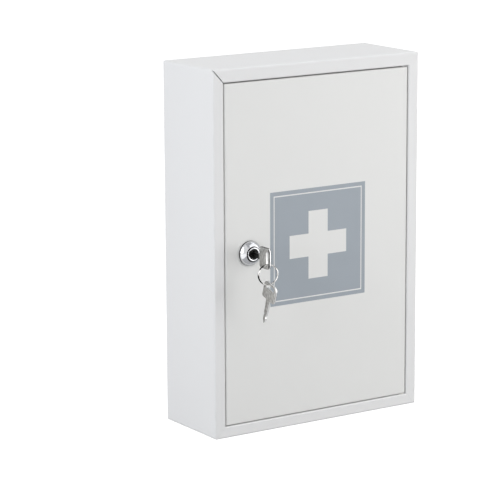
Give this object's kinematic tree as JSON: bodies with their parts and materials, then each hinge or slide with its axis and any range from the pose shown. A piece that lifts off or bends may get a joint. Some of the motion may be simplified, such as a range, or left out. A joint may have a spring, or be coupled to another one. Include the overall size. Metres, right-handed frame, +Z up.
{
  "type": "lockable medicine cabinet",
  "caption": "Flat wall cabinet of folded sheet steel with a hinged door, a cam lock, keys on a split ring and a shelf inside.",
  "frame": {"origin": "middle of the underside of the cabinet", "axes": "+Z up along the height, +X to the right across the door, +Y back towards the wall"},
  "size_m": [0.215, 0.1206, 0.32],
  "materials": {
    "cabinet_coat": "white powder coat, satin, fine texture",
    "door_coat": "warm white powder coat, satin, fine texture",
    "print_ink": "blue-grey screen printing ink, matt",
    "lock_chrome": "bright chrome plate",
    "core_black": "black plated core",
    "zinc_steel": "zinc plated steel",
    "wafer_brass": "stamped brass",
    "key_nickel": "satin nickel plate",
    "ring_steel": "nickel plated spring wire",
    "washer_plastic": "moulded nylon",
    "bumper_rubber": "moulded rubber"
  },
  "bodies": {
    "cabinet": {"cabinet_wrap": "cabinet_coat", "back_panel": "cabinet_coat", "shelf": "cabinet_coat", "hinge_pin_top": "cabinet_coat", "hinge_pin_bottom": "cabinet_coat", "hinge_washer_bottom": "washer_plastic", "stop_tabs": "cabinet_coat", "stop_bumpers": "bumper_rubber"},
    "door": {"door_panel": "door_coat", "emblem_print": "print_ink", "lock_housing": "lock_chrome", "lock_washer": "zinc_steel", "lock_nut": "zinc_steel"},
    "lock_core": {"lock_plug": "core_black", "lock_wafers": "wafer_brass", "wafer_springs": "zinc_steel", "lock_cam": "zinc_steel", "cam_washer": "zinc_steel", "cam_screw": "zinc_steel"},
    "key": {"key": "key_nickel"},
    "key_ring": {"key_ring": "ring_steel"},
    "spare_key": {"spare_key": "key_nickel"}
  },
  "joints": [
    {"name": "door_hinge", "type": "hinge", "parent": "cabinet", "child": "door", "pos_m": [0.0925, -0.037, 0.16], "axis": [0, 0, 1], "range_deg": [0, 110]},
    {"name": "lock_turn", "type": "hinge", "parent": "door", "child": "lock_core", "pos_m": [-0.071, -0.0397, 0.16], "axis": [0, 1, 0], "range_deg": [0, 90]},
    {"name": "key_slide", "type": "slide", "parent": "lock_core", "child": "key", "axis": [0, -1, 0], "range_m": [0, 0.02]},
    {"name": "ring_swing", "type": "hinge", "parent": "key", "child": "key_ring", "pos_m": [-0.071, -0.0677, 0.15495], "axis": [0.9744, -0.225, 0], "range_deg": [-60, 12]},
    {"name": "spare_swing", "type": "hinge", "parent": "key_ring", "child": "spare_key", "pos_m": [-0.071, -0.0677, 0.13755], "axis": [1, 0, 0], "range_deg": [-45, 10]}
  ]
}
